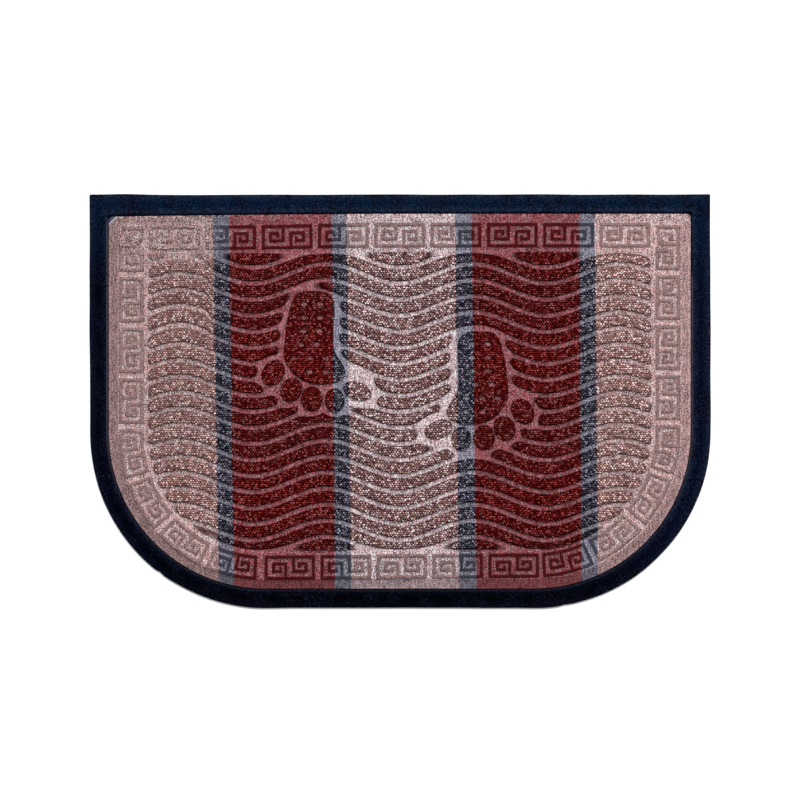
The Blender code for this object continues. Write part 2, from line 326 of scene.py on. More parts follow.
# the footprints: measured across from the foot's axis and down from its heel
feet = {
    "heels": table("x y side toesAside toesDown innerClear",
                   (-84.7, 106.5, 1, 1.6, 0.9, 1), (77.6, 67.8, -1, -2.1, -0.6, 2.6)),
    "clear": 4.5,
    "soleLength": 90.5,
    "soleTipShift": 10,
    "soleSteps": 4,
    "toeSides": 30,
    "dotSides": 12,
    "dotHalfWidth": 3.3,
    "dotHalfHeight": 2.2,
    "dotSpacing": 15.5,
    "reachX": 150,
    "reachY": 125,
    "aroundX": 75,
    "aroundY": 95,
}
soleRows = table("down outer inner",
                 (1.5, -12.4, 13.2), (6.7, -17.6, 19.3), (15.3, -20.9, 21.6), (32.5, -24.7, 20.8),
                 (50, -26.4, 20.4), (59, -27.5, 22.2), (67.5, -26, 27.2), (75.7, -21, 31.8),
                 (82.5, -15, 31), (88, -5.5, 24.5))
toeRows = table("across down long short tilt clear",
                (-39.1, 78.2, 13.2, 10.3, 57, 4.5),
                (-21.7, 94.7, 12.2, 10.3, 66, 4.5),
                (-1.9, 103.4, 12.1, 10.5, 90, 4.5),
                (20.3, 104.8, 11.6, 9.5, 90, 4.5),
                (42, 95.6, 14, 8.7, -20, 7.2))
dotRows = table("down first count",
                (12.6, -7.7, 2), (25.6, -7.7, 2), (38.6, -8.3, 2), (51.7, -11, 2), (64.7, -17.4, 3),
                (78, -2.5, 2))
# patches on the mat that the ribs keep clear of besides
bareGrounds = table("x y long short tilt", (-37.9, 24.3, 15.5, 5, -30), (110.7, 7.6, 4, 2.5, 0),
                    (70.2, -48.5, 4, 2.5, 0))


def smoothLoop(knots, steps):
    knots = np.array(knots, float)
    before, there, after = (np.roll(knots, shift, 0) for shift in (1, -1, -2))
    rows = []
    for t in np.arange(steps) / steps:
        rows.append(
            knots
            + t * (there - before) / 2
            + t * t * (2 * before - 5 * knots + 4 * there - after) / 2
            + t ** 3 * (3 * knots - before - 3 * there + after) / 2
        )
    return np.stack(rows, 1).reshape(-1, 2)


def onMat(outline, heel):
    across, down = np.array(outline).T
    return np.stack([heel["x"] + heel["side"] * across, heel["y"] - down], 1)


def soleOutline(heel, grow, innerGrow=0):
    outer = [(row["outer"] - grow, row["down"]) for row in soleRows]
    inner = [(row["inner"] + grow + innerGrow, row["down"]) for row in soleRows]
    tip = (feet["soleTipShift"], feet["soleLength"] + grow)
    return onMat(smoothLoop([(0, -grow)] + outer + [tip] + inner[::-1], feet["soleSteps"]), heel)


def ellipse(centre, long, short, tilt, sides):
    turn = np.linspace(0, 2 * math.pi, sides, endpoint=False)
    x, y = long * np.cos(turn), short * np.sin(turn)
    cos, sin = math.cos(tilt), math.sin(tilt)
    return np.stack([centre[0] + x * cos - y * sin, centre[1] + x * sin + y * cos], 1)


def toeOutlines(heel, grow, clear=0):
    for toe in toeRows:
        centre = (toe["across"] + heel["toesAside"], toe["down"] + heel["toesDown"])
        wider = grow + clear * toe["clear"]
        shape = ellipse(centre, toe["long"] + wider, toe["short"] + wider,
                        -math.radians(toe["tilt"]), feet["toeSides"])
        yield onMat(shape, heel)


def clearOutlines(inwards):
    # round what the ribs keep clear of
    for heel in feet["heels"]:
        yield soleOutline(heel, feet["clear"] + inwards, heel["innerClear"])
        yield from toeOutlines(heel, inwards, 1)
    for bare in bareGrounds:
        yield ellipse((bare["x"], bare["y"]), bare["long"] + inwards, bare["short"] + inwards,
                      math.radians(bare["tilt"]), feet["toeSides"])


def dotOutlines(heel, grow):
    for row in dotRows:
        for place in range(row["count"]):
            centre = (row["first"] + place * feet["dotSpacing"], row["down"])
            shape = ellipse(centre, feet["dotHalfWidth"] + grow, feet["dotHalfHeight"] + grow,
                            0, feet["dotSides"])
            yield onMat(shape, heel)


def outlineDepth(x, y, outline):
    # how far inside a closed outline, and below zero outside it
    nearest = np.full(x.shape, np.inf)
    inside = np.zeros(x.shape, bool)
    for (x0, y0), (x1, y1) in zip(outline, np.roll(outline, -1, 0)):
        dx, dy = x1 - x0, y1 - y0
        share = np.clip(((x - x0) * dx + (y - y0) * dy) / (dx * dx + dy * dy), 0, 1)
        nearest = np.minimum(nearest, np.hypot(x - x0 - share * dx, y - y0 - share * dy))
        if dy:
            inside ^= ((y0 > y) != (y1 > y)) & (x < dx * (y - y0) / dy + x0)
    return np.where(inside, nearest, -nearest)


def footDepths(x, y):
    # inside the printed sole and toes, and outside the ground that is clear of ribs
    printed = np.full(x.shape, -farAway)
    outside = np.full(x.shape, farAway)
    near = (abs(x) < feet["reachX"]) & (abs(y) < feet["reachY"])
    outside[near] = -np.max([outlineDepth(x[near], y[near], shape) for shape in clearOutlines(0)], 0)
    for heel in feet["heels"]:
        middle = heel["y"] - feet["soleLength"] / 2
        near = (abs(x - heel["x"]) < feet["aroundX"]) & (abs(y - middle) < feet["aroundY"])
        px, py = x[near], y[near]
        sole = outlineDepth(px, py, soleOutline(heel, 0))
        toes = np.max([outlineDepth(px, py, toe) for toe in toeOutlines(heel, 0)], 0)
        dots = np.max([outlineDepth(px, py, dot) for dot in dotOutlines(heel, 0)], 0)
        shown = np.maximum(np.minimum(sole, -dots), toes)
        printed[near] = np.maximum(printed[near], shown)
    return printed, outside


def reliefDepth(x, y):
    # inside the raised pile, and below zero over the pressed ground
    printed, outside = footDepths(x, y)
    ends = waves["endRounding"]
    atTop = ease((y - waves["tipsFrom"]) / waves["tipsFade"])
    atBottom = ease((-waves["tipsFrom"] - y) / waves["tipsFade"])
    atBottom = atBottom * ease((waves["plainTipsFrom"] - x) / waves["plainTipsFade"])
    tips = np.maximum(atTop, atBottom) * (waves["tipRounding"] - ends)
    ribs = softMin(waveDepth(x, y), fieldDepth(x, y), ends + tips)
    ribs = softMin(ribs, outside, waves["footRounding"])
    return np.maximum(np.maximum(ribs, printed), bandDepth(x, y))


# the carpet sheet: a pressed ground with the pile's bed raised on it
carpet = {
    "inset": 18.9,
    "topCorner": 4,
    "low": 1.8,
    "ground": 3.8,
    "bed": 5.1,
    "wallStart": -0.35,
    "wallWidth": 1.1,
    "wallRings": [-0.3, 0.1, 0.5],
    "rimDrop": 0.7,
    "rimWidth": 2.4,
    "rimRings": [0.5, 1.3, 2.6],
    "overlap": 0.4,
    "fieldStep": 3.0,
    "fieldJitter": 0.9,
    "fieldSeed": 11,
    "clearOfRim": 3.6,
    "clearOfWalls": 1.5,
    "ruffle": 0.13,
    "ruffleOnGround": 0.6,
    "ruffleScale": 7,
}


def fromCarpetEdge(x, y):
    return insideMat(x, y + mouthDrop(x, y)) - carpet["inset"]


def carpetOutline(inwards):
    x, y = matOutline(carpet["inset"] + inwards, carpet["topCorner"]).T
    return np.stack([x, y - mouthDrop(x, y)], 1)


def strokeSides(path, halfWidth):
    path = np.array(path, float)
    run = np.diff(path, axis=0)
    normal = np.stack([-run[:, 1], run[:, 0]], 1) / np.hypot(run[:, 0], run[:, 1])[:, None]
    before = np.concatenate([normal[:1], normal])
    after = np.concatenate([normal, normal[-1:]])
    offset = (before + after) * halfWidth / (1 + np.sum(before * after, 1))[:, None]
    return path + offset, path - offset


def keyOutlines(length, inwards):
    # the outer and inner loops of a key, with its lines this much thinner on each side
    low = keys["lineWidth"] - inwards
    thin = keyHalf - inwards
    path = hookPath(length)
    path[0] = (path[0][0], low)
    path[-1] = (path[-1][0], path[-1][1] + thin)
    left, right = strokeSides(path, thin)
    first = np.concatenate([left, right[::-1]])
    second = np.array([length, keyHeight]) - first
    outer = [(inwards, inwards), (length - inwards, inwards),
             (length - inwards, keyHeight - inwards), (inwards, keyHeight - inwards)]
    inner = [[(low, low)], first, [(length - low, low), (length - low, keyHeight - low)],
             second, [(low, keyHeight - low)]]
    return [np.array(outer), np.concatenate(inner)]


def splitEdges(outline, longest):
    points = []
    for here, there in zip(outline, np.roll(outline, -1, 0)):
        pieces = max(1, math.ceil(np.hypot(*(there - here)) / longest))
        points.append(here + (there - here) * (np.arange(pieces) / pieces)[:, None])
    return np.concatenate(points)


def onTopBand(start, outline):
    return np.stack([start + outline[:, 0], halfY - keys["outerInset"] - outline[:, 1]], 1)


def onRoundBand(start, outline):
    along = start + outline[:, 0]
    radius = mat["bendRadius"] - keys["outerInset"] - outline[:, 1]
    turn = np.clip((along - sideTop) / middleRadius, 0, math.pi / 2)
    before = np.maximum(sideTop - along, 0)
    past = np.maximum(along - sideTop - middleRadius * math.pi / 2, 0)
    x = -bendX - radius * np.cos(turn) + past
    y = bendY - radius * np.sin(turn) + before
    return np.stack([x, y], 1)


def allKeyOutlines(inwards):
    gap = keys["gap"]
    for number in range(keys["topKeys"]):
        start = -topSpan / 2 + number * topPeriod + gap / 2
        for outline in keyOutlines(topPeriod - gap, inwards):
            yield lowered(onTopBand(start, splitEdges(outline, keys["lineStep"])))
    runs = [(-gap / 2, keys["sidePeriod"], keys["sideKeys"], (1, -1), 0),
            (cornerStart, cornerPeriod, keys["cornerKeys"], (1, -1), 0),
            (bottomStart, keys["bottomPeriod"], keys["bottomKeys"], (1,), keys["bottomShift"])]
    for begin, period, count, sides, shift in runs:
        for number in range(count):
            for outline in keyOutlines(period - gap, inwards):
                start = begin + number * period + gap / 2
                placed = onRoundBand(start, splitEdges(outline, keys["lineStep"]))
                for side in sides:
                    yield lowered(placed * np.array([side, 1]) + np.array([shift, 0]))


def patternLines():
    # every line that the sheet's triangles follow, as (points, closed, kept points)
    for inwards in carpet["wallRings"]:
        for outline in allKeyOutlines(inwards):
            yield outline, True, None
        for heel in feet["heels"]:
            yield soleOutline(heel, -inwards), True, None
            for outline in toeOutlines(heel, -inwards):
                yield outline, True, None
            for outline in dotOutlines(heel, inwards):
                yield outline, True, None
        reach = halfX - waves["fieldInset"]
        x = np.linspace(-reach, reach, round(2 * reach / waves["lineStep"]))
        stretch = np.hypot(1, channelSlope(x))
        aside = (waves["channelWidth"] / 2 + inwards) * stretch
        for channel in range(waves["channels"]):
            level = waves["firstChannel"] - channel * waves["pitch"] + channelLift(x)
            middle = level
            for _ in range(waves["liftSteps"]):
                middle = level + farLift(x, middle)
            for y in (middle + aside, middle - aside):
                _, outside = footDepths(x, y)
                kept = (fieldDepth(x, y) > -carpet["overlap"]) & (outside > -carpet["overlap"])
                yield np.stack([x, y], 1), False, kept
        yield fieldOutline(inwards), True, None
        for outline in clearOutlines(inwards):
            yield outline, True, None
    for inwards in carpet["rimRings"]:
        yield carpetOutline(inwards), True, None


def fieldPoints():
    # a jittered lattice over the sheet, kept off the walls
    step = carpet["fieldStep"]
    dice = np.random.default_rng(carpet["fieldSeed"])
    x, y = np.meshgrid(np.arange(-halfX, halfX, step), np.arange(-halfY, halfY, step))
    x = x + (np.round(y / step) % 2) * step / 2
    x = (x + dice.uniform(-1, 1, x.shape) * carpet["fieldJitter"]).ravel()
    y = (y + dice.uniform(-1, 1, y.shape) * carpet["fieldJitter"]).ravel()
    kept = fromCarpetEdge(x, y) > carpet["clearOfRim"]
    kept &= abs(reliefDepth(x, y)) > carpet["clearOfWalls"]
    return np.stack([x[kept], y[kept]], 1)


def sheetHeight(x, y, depth):
    raised = ease((depth - carpet["wallStart"]) / carpet["wallWidth"])
    rim = 1 - ease(fromCarpetEdge(x, y) / carpet["rimWidth"])
    ruffle = np.array([noise.noise(Vector((px, py, 0)) / carpet["ruffleScale"]) for px, py in zip(x, y)])
    rise = carpet["bed"] - carpet["ground"]
    height = carpet["ground"] + rise * raised - carpet["rimDrop"] * rim
    return height + carpet["ruffle"] * ruffle * (carpet["ruffleOnGround"] + raised)


def makeCarpet():
    border = carpetOutline(0)
    points = [border]
    edges = []
    count = len(border)
    for outline, closed, kept in patternLines():
        number = np.arange(len(outline))
        if kept is not None:
            number = np.where(kept, np.cumsum(kept) - 1, -1)
            outline = outline[kept]
        pairs = np.stack([number, np.roll(number, -1)], 1)
        if not closed:
            pairs = pairs[:-1]
        pairs = pairs[(pairs >= 0).all(1)]
        edges += [(count + a, count + b) for a, b in pairs.tolist()]
        points.append(outline)
        count += len(outline)
    points.append(fieldPoints())
    places = [Vector(place) for place in np.concatenate(points).tolist()]
    print("carpet: joining", len(places), "places,", len(edges), "edges")
    flat, _, faces, *_ = delaunay_2d_cdt(places, edges, [list(range(len(border)))], 1, 1e-6)
    x, y = np.array([tuple(place) for place in flat]).T
    height = sheetHeight(x, y, reliefDepth(x, y))
    piece = newMesh("carpet_face", np.stack([x, y, height], 1) * mm, faces)
    shape = bmesh.new()
    shape.from_mesh(piece.data)
    loose = [vert for vert in shape.verts if not vert.link_faces]
    bmesh.ops.delete(shape, geom=loose, context="VERTS")
    rim = [edge for edge in shape.edges if edge.is_boundary]
    grown = bmesh.ops.extrude_edge_only(shape, edges=rim)["geom"]
    for vert in grown:
        if isinstance(vert, bmesh.types.BMVert):
            vert.co.z = carpet["low"] * mm
    lower = [edge for edge in grown if isinstance(edge, bmesh.types.BMEdge)]
    bmesh.ops.triangle_fill(shape, edges=lower, use_beauty=True)
    bmesh.ops.recalc_face_normals(shape, faces=shape.faces)
    shape.to_mesh(piece.data)
    shape.free()
    x, y = np.array([vert.co[:2] for vert in piece.data.vertices]).T / mm
    for name, values in (("depth", reliefDepth(x, y)), ("edge", fromCarpetEdge(x, y))):
        stored = piece.data.attributes.new(name, "FLOAT", "POINT")
        stored.data.foreach_set("value", values.astype(np.float32))
    piece.data.shade_smooth()
    print("carpet:", len(piece.data.vertices), "points,", len(piece.data.polygons), "faces")
    return piece


carpetFace = makeCarpet()


class Socket:
    # an output of a node, on which sums and products add Math nodes
    def __init__(self, tree, out):
        self.tree = tree
        self.out = out

    def pick(self, name):
        # another output of the same node
        return Socket(self.tree, self.out.node.outputs[name])

    def math(self, operation, *others):
        return mathNode(self.tree, operation, self, *others)

    def __add__(self, other):
        return self.math("ADD", other)

    def __sub__(self, other):
        return self.math("SUBTRACT", other)

    def __rsub__(self, other):
        return mathNode(self.tree, "SUBTRACT", other, self)

    def __mul__(self, other):
        return self.math("MULTIPLY", other)

    def __rtruediv__(self, other):
        return mathNode(self.tree, "DIVIDE", other, self)

    __radd__ = __add__
    __rmul__ = __mul__


def addNode(tree, kind, settings=None, inputs=None, output=0):
    # one node: its settings first, then a value or a link for each socket named or numbered
    node = tree.nodes.new(kind)
    for name, value in (settings or {}).items():
        if name == "stops":
            ramp = node.color_ramp.elements
            while len(ramp) < len(value):
                ramp.new(0.5)
            for stop, (place, color) in zip(ramp, value):
                stop.position = place
                stop.color = (*color, 1)
        elif name == "steps":
            node.color_ramp.interpolation = value
        else:
            setattr(node, name, value)
    for key, value in (inputs or {}).items():
        if isinstance(value, Socket):
            tree.links.new(value.out, node.inputs[key])
        else:
            node.inputs[key].default_value = value
    return Socket(tree, node.outputs[output]) if node.outputs else None


def mathNode(tree, operation, *values):
    return addNode(tree, "ShaderNodeMath", {"operation": operation}, dict(enumerate(values)))


def clamped(value, low, high):
    # 0 below low and 1 above high, straight between
    return addNode(value.tree, "ShaderNodeMapRange", {"clamp": True},
                   {"Value": value, "From Min": low, "From Max": high})


def inKeyBand(edge):
    # 1 between the outer and the inner side of the key band
    outer, inner, fade = keys["bandFrom"], keys["bandTo"], keys["bandFade"]
    return clamped(edge, outer, outer + fade) - clamped(edge, inner, inner + fade)


# the rubber tray: a backing and a border in one, as rings from the foot over the lip to the floor
tray = {
    "topCorner": 1.2,
    "waviness": 0.45,
    "wavinessScale": 45,
    "wavinessLevel": 3,
    "wavinessInwards": 0.3,
    "wavinessReach": 6,
    "mouthFrom": 8,
}
trayProfile = table("inset z",
                    (0.5, 0), (0.1, 0.15), (0, 0.5), (0, 1.3), (0.12, 1.9), (0.5, 2.45), (1.2, 2.88),
                    (2.2, 3.14), (3.5, 3.36), (6, 3.56), (10, 3.8), (13.2, 4.02), (13.9, 4.18),
                    (14.4, 4.55), (14.9, 4.85), (15.6, 5), (16.4, 4.98), (17.1, 4.75), (17.5, 4.3),
                    (17.8, 3.5), (18.3, 1.7), (18.7, 1.5))
nicks = table("x y deep wide",
              (-230.6, -165, 1.3, 3), (159.7, -196, 0.9, 3.5), (-262, 200, -0.5, 16),
              (300, 20, -0.9, 150), (-300, -30, 0.7, 70))


def makeTray():
    places = []
    for row in trayProfile:
        inset = row["inset"]
        ring = matOutline(inset, tray["topCorner"])
        inwards = matOutline(inset + 1, tray["topCorner"]) - ring
        near = 1 - ease(inset / tray["wavinessReach"])
        atMouth = ease(inset / tray["mouthFrom"] - 1)
        for (x, y), (dx, dy) in zip(ring, inwards):
            wave = noise.noise(Vector((x, y, tray["wavinessLevel"])) / tray["wavinessScale"])
            shift = near * tray["waviness"] * (wave + tray["wavinessInwards"])
            for nick in nicks:
                away = math.hypot(x - nick["x"], y - nick["y"]) / nick["wide"]
                shift += near * nick["deep"] * math.exp(-away * away)
            drop = atMouth * mouthDrop(x, y)
            places.append((x + dx * shift, y + dy * shift - drop, row["z"]))
    size = len(ring)
    rings = [list(range(row * size, row * size + size)) for row in range(len(trayProfile))]
    faces = [rings[0][::-1], rings[-1]]
    for lower, upper in zip(rings, rings[1:]):
        for here in range(size):
            there = (here + 1) % size
            faces.append((lower[here], lower[there], upper[there], upper[here]))
    piece = newMesh("rubber_border_and_backing", np.array(places) * mm, faces)
    stored = piece.data.attributes.new("inset", "FLOAT", "POINT")
    stored.data.foreach_set("value", np.repeat([row["inset"] for row in trayProfile], size))
    return piece


trayPiece = makeTray()
print("tray:", len(trayPiece.data.polygons), "faces")

# the stripes, left to right: where each one's left edge is at the carpet's top and bottom
stripeRows = table(
    "name yarn top bottom shade",
    ("beige_left", "beige", -290, -290, 1),
    ("slate_far_left", "slate", -180.6, -174.8, 0.84),
    ("red_left", "red", -164.9, -160, 1),
    ("slate_left", "slate", -65.4, -62.5, 1.05),
    ("light_middle", "light", -51.6, -46.7, 1),
    ("slate_right", "slate", 53.4, 57.3, 1.05),
    ("red_right", "red", 69.3, 74.2, 0.95),
    ("slate_far_right", "slate", 173.4, 175.7, 0.93),
    ("beige_right", "beige", 188.6, 191.6, 1.13),
)
lastEdge = {"top": 290, "bottom": 290}
stripeSpan = 2 * (halfY - carpet["inset"])


def stripeEdge(row, y):
    # works on numbers and on sockets alike
    middle = (row["top"] + row["bottom"]) / 2
    return y * ((row["top"] - row["bottom"]) / stripeSpan) + middle


# the standing pile: little yarn loops on every raised part
loopSizes = {
    "Column Pitch": 2.4,
    "Row Pitch": 1.95,
    "Jitter": 0.38,
    "Half Length": 0.46,
    "Height": 0.62,
    "Sink": 0.5,
    "Yarn Radius": 0.87,
}
pile = {
    "latticeWidth": 160,
    "searchFrom": 50,
    "endThickness": 0.65,
    "swell": 0.45,
    "sizeSpread": 0.2,
    "turnSpread": 0.7,
    "leanSpread": 0.25,
    "margin": 0.4,
    "keyMargin": 0.55,
    "arcPoints": 4,
    "yarnSides": 4,
}


def makePileTree():
    tree = bpy.data.node_groups.new("pile loops", "GeometryNodeTree")
    numbers = ["Left Middle", "Left Lean", "Right Middle", "Right Lean", "Margin", *loopSizes]
    wanted = [("Carpet", "NodeSocketObject"), ("Seed", "NodeSocketInt"), ("Yarn", "NodeSocketMaterial")]
    for name, kind in wanted + [(name, "NodeSocketFloat") for name in numbers]:
        tree.interface.new_socket(name, in_out="INPUT", socket_type=kind)
    tree.interface.new_socket("Geometry", in_out="OUTPUT", socket_type="NodeSocketGeometry")
    given = addNode(tree, "NodeGroupInput").pick

    def add(kind, settings=None, inputs=None, output=0):
        return addNode(tree, "GeometryNode" + kind, settings, inputs, output)

    def dice(low, high, number):
        return addNode(tree, "FunctionNodeRandomValue", {"data_type": "FLOAT"},
                       {2: low, 3: high, "Seed": given("Seed") + number}, 1)

    def joined(x, y, z):
        return addNode(tree, "ShaderNodeCombineXYZ", None, {"X": x, "Y": y, "Z": z})

    def stored(geometry, name, value, domain="POINT", kind="FLOAT"):
        return add("StoreNamedAttribute", {"data_type": kind, "domain": domain},
                   {"Geometry": geometry, "Name": name, "Value": value})

    # a lattice over the stripe, every other row moved by half a loop
    wide, tall = pile["latticeWidth"] * mm, mat["depth"] * mm
    rows = (tall / given("Row Pitch")).math("FLOOR")
    lattice = add("MeshGrid", None, {"Size X": wide, "Size Y": tall, "Vertices Y": rows,
                                     "Vertices X": (wide / given("Column Pitch")).math("FLOOR")})
    spots = add("MeshToPoints", None, {"Mesh": lattice})
    odd = add("InputIndex").math("MODULO", rows).math("MODULO", 2)
    here = addNode(tree, "ShaderNodeSeparateXYZ", None, {0: add("InputPosition")})
    middle = (given("Left Middle") + given("Right Middle")) * 0.5
    x = here.pick("X") + middle + odd * given("Column Pitch") * 0.5 + dice(-1.0, 1.0, 1) * given("Jitter")
    y = here.pick("Y") + dice(-1.0, 1.0, 2) * given("Jitter")
    above = joined(x, y, pile["searchFrom"] * mm)
    spots = add("SetPosition", None, {"Geometry": spots, "Position": above})

    # only inside the stripe, and only where the carpet below is raised
    place = add("InputPosition")
    here = addNode(tree, "ShaderNodeSeparateXYZ", None, {0: place})
    x, y = here.pick("X"), here.pick("Y")
    outLeft = (given("Left Middle") + y * given("Left Lean") - x).math("GREATER_THAN", 0)
    outRight = (x - given("Right Middle") - y * given("Right Lean")).math("GREATER_THAN", 0)
    sheet = add("ObjectInfo", {"transform_space": "RELATIVE"}, {"Object": given("Carpet")}, "Geometry")

    def below(name):
        # whether the carpet lies below, and as "Attribute" what it holds there under this name
        value = add("InputNamedAttribute", {"data_type": "FLOAT"}, {"Name": name}, "Attribute")
        return add("Raycast", {"data_type": "FLOAT"}, {
            "Target Geometry": sheet, "Attribute": value, "Source Position": place,
            "Ray Direction": (0, 0, -1), "Ray Length": pile["searchFrom"] * mm,
        }, "Is Hit")

    found = below("depth")
    inside = found.pick("Attribute")
    spots = stored(spots, "inside", inside)
    fromEdge = below("edge").pick("Attribute")
    spots = stored(spots, "edge", fromEdge)
    spots = stored(spots, "ground", found.pick("Hit Position"), kind="FLOAT_VECTOR")
    margin = given("Margin") + inKeyBand(fromEdge) * pile["keyMargin"]
    shallow = (margin - inside).math("GREATER_THAN", 0)
    unwanted = (outLeft + outRight + shallow + (1 - found)).math("GREATER_THAN", 0.5)
    spots = add("DeleteGeometry", {"domain": "POINT"}, {"Geometry": spots, "Selection": unwanted})
    ground = add("InputNamedAttribute", {"data_type": "FLOAT_VECTOR"}, {"Name": "ground"}, "Attribute")
    spots = add("SetPosition", None, {"Geometry": spots, "Position": ground})

    # one loop: an arch of yarn, thick in the middle
    arch = add("CurveArc", {"mode": "RADIUS"}, {"Resolution": pile["arcPoints"], "Radius": 1.0,
                                                "Start Angle": 0.0, "Sweep Angle": math.pi}, "Curve")
    size = joined(given("Half Length"), given("Height") + given("Sink"), 1.0)
    arch = add("Transform", None, {"Geometry": arch, "Scale": size})
    arch = add("Transform", None, {"Geometry": arch, "Translation": joined(0.0, 0.0, 0 - given("Sink")),
                                   "Rotation": (math.pi / 2, 0, 0)})
    along = add("SplineParameter", None, None, "Factor")
    thickness = (along * math.pi).math("SINE") * pile["swell"] + pile["endThickness"]
    arch = add("SetCurveRadius", None, {"Curve": arch, "Radius": thickness})
    arch = add("SetCurveTilt", None, {"Curve": arch, "Tilt": math.pi / 4})
    ring = add("CurvePrimitiveCircle", {"mode": "RADIUS"},
               {"Resolution": pile["yarnSides"], "Radius": given("Yarn Radius")}, "Curve")
    loop = add("CurveToMesh", None, {"Curve": arch, "Profile Curve": ring, "Fill Caps": True})

    lean = pile["leanSpread"]
    turn = joined(dice(-lean, lean, 3), dice(-lean, lean, 4),
                  dice(-pile["turnSpread"], pile["turnSpread"], 5))
    grow = dice(1 - pile["sizeSpread"], 1 + pile["sizeSpread"], 6)
    loops = add("InstanceOnPoints", None, {"Points": spots, "Instance": loop,
                                           "Rotation": turn, "Scale": grow})
    loops = stored(loops, "tone", dice(0.0, 1.0, 7), "INSTANCE")
    loops = stored(loops, "fleck", dice(0.0, 1.0, 8), "INSTANCE")
    loops = add("RealizeInstances", None, {"Geometry": loops})
    loops = add("SetShadeSmooth", None, {"Geometry": loops})
    loops = add("SetMaterial", None, {"Geometry": loops, "Material": given("Yarn")})
    addNode(tree, "NodeGroupOutput", None, {"Geometry": loops})
    return tree


def makePile(tree, row, following, number, material):
    host = newMesh("pile_host", [], [])
    values = {
        "Carpet": carpetFace,
        "Left Middle": stripeEdge(row, 0) * mm,
        "Left Lean": (row["top"] - row["bottom"]) / stripeSpan,
        "Right Middle": stripeEdge(following, 0) * mm,
        "Right Lean": (following["top"] - following["bottom"]) / stripeSpan,
        "Margin": pile["margin"],
        "Seed": 10 * number,
        "Yarn": material,
        **{name: size * mm for name, size in loopSizes.items()},
    }
    modifier = host.modifiers.new("pile", "NODES")
    modifier.node_group = tree
    for item in tree.interface.items_tree:
        if item.in_out == "INPUT":
            modifier[item.identifier] = values[item.name]
    bpy.context.view_layer.update()
    graph = bpy.context.evaluated_depsgraph_get()
    mesh = bpy.data.meshes.new_from_object(host.evaluated_get(graph))
    bpy.data.objects.remove(host)
    mesh.name = "pile_" + row["name"]
    return addObject(mesh.name, mesh)


def screenColor(r, g, b):
    # a colour as the screen shows it, in the numbers that a shader takes
    shares = [c / 255 for c in (r, g, b)]
    return tuple(c / 12.92 if c <= 0.04045 else ((c + 0.055) / 1.055) ** 2.4 for c in shares)


def newFinish(name, numbers):
    # a material with a Principled shader, given the numbers that hold all over it
    material = bpy.data.materials.new(name)
    material.use_nodes = True
    tree = material.node_tree
    shader = tree.nodes["Principled BSDF"]
    for key, value in numbers.items():
        shader.inputs[key].default_value = value
    return material, tree, shader


def feed(tree, shader, key, value):
    tree.links.new(value.out, shader.inputs[key])


def scaled(tree, vector, factor):
    # a colour or a place, each part times the factor
    return addNode(tree, "ShaderNodeVectorMath", {"operation": "SCALE"}, {0: vector, "Scale": factor})


def placeInMm(tree):
    # Object coordinates in millimetres, whole and split
    place = scaled(tree, addNode(tree, "ShaderNodeTexCoord", None, None, "Object"), 1 / mm)
    split = addNode(tree, "ShaderNodeSeparateXYZ", None, {0: place})
    return place, *(split.pick(axis) for axis in "XYZ")


def attribute(tree, name):
    return addNode(tree, "ShaderNodeAttribute", {"attribute_name": name}, None, "Fac")


def mixColors(tree, share, first, second, way="MIX"):
    pair = [value if isinstance(value, Socket) else (*value, 1) for value in (first, second)]
    return addNode(tree, "ShaderNodeMix", {"data_type": "RGBA", "blend_type": way},
                   {0: share, 6: pair[0], 7: pair[1]}, 2)


def colorAlong(tree, share, stops, steps="LINEAR"):
    return addNode(tree, "ShaderNodeValToRGB", {"stops": stops, "steps": steps}, {"Fac": share})


def noiseAt(tree, place, size, detail=2.0, roughness=0.55):
    # noise from about 0 to 1 with lumps of this size in millimetres
    return addNode(tree, "ShaderNodeTexNoise", None,
                   {"Vector": place, "Scale": 1 / size, "Detail": detail, "Roughness": roughness})


def drawnOut(tree, place, stretch):
    # the place for a noise drawn out along Y, as knitted columns are, or across if under 1
    return addNode(tree, "ShaderNodeVectorMath", {"operation": "MULTIPLY"},
                   {0: place, 1: (1, 1 / stretch, 1)})


def addBump(tree, shader, height, depthMm):
    bump = addNode(tree, "ShaderNodeBump", None, {"Height": height, "Distance": depthMm * mm})
    feed(tree, shader, "Normal", bump)


# the yarns: the tones of single loops, the bed between them, dark as painted shade in the gaps,
# the lines of the keys, and the pressed ground with its worn haze
yarns = {
    "beige": {
        "tones": [(136, 105, 102), (160, 129, 126), (180, 148, 145), (203, 173, 171), (230, 209, 209)],
        "bed": (96, 66, 64),
        "line": (152, 123, 121),
        "pressed": (151, 122, 122),
        "haze": (158, 145, 145),
    },
    "red": {
        "tones": [(80, 15, 15), (99, 25, 25), (114, 35, 35), (131, 53, 53), (152, 82, 84)],
        "bed": (42, 0, 0),
        "line": (76, 12, 14),
        "pressed": (124, 66, 70),
        "haze": (133, 94, 100),
    },
    "slate": {
        "tones": [(54, 53, 66), (73, 72, 87), (92, 91, 107), (115, 114, 130), (150, 148, 165)],
        "bed": (12, 12, 23),
        "line": (60, 61, 74),
        "pressed": (112, 108, 122),
        "haze": (121, 123, 135),
    },
    "light": {
        "tones": [(127, 95, 94), (153, 121, 120), (175, 143, 143), (201, 173, 174), (235, 216, 219)],
        "bed": (66, 39, 40),
        "line": (140, 111, 111),
        "pressed": (169, 145, 149),
        "haze": (181, 175, 177),
    },
}

# what dyes some of the loops: brownish, rosy, greenish grey and dark ones, and the plain rest
flecks = [
    (0, (1, 0.84, 0.7)),
    (0.16, (1, 0.78, 0.82)),
    (0.28, (0.88, 0.95, 0.88)),
    (0.4, (0.4, 0.34, 0.36)),
    (0.48, (1, 1, 1)),
]


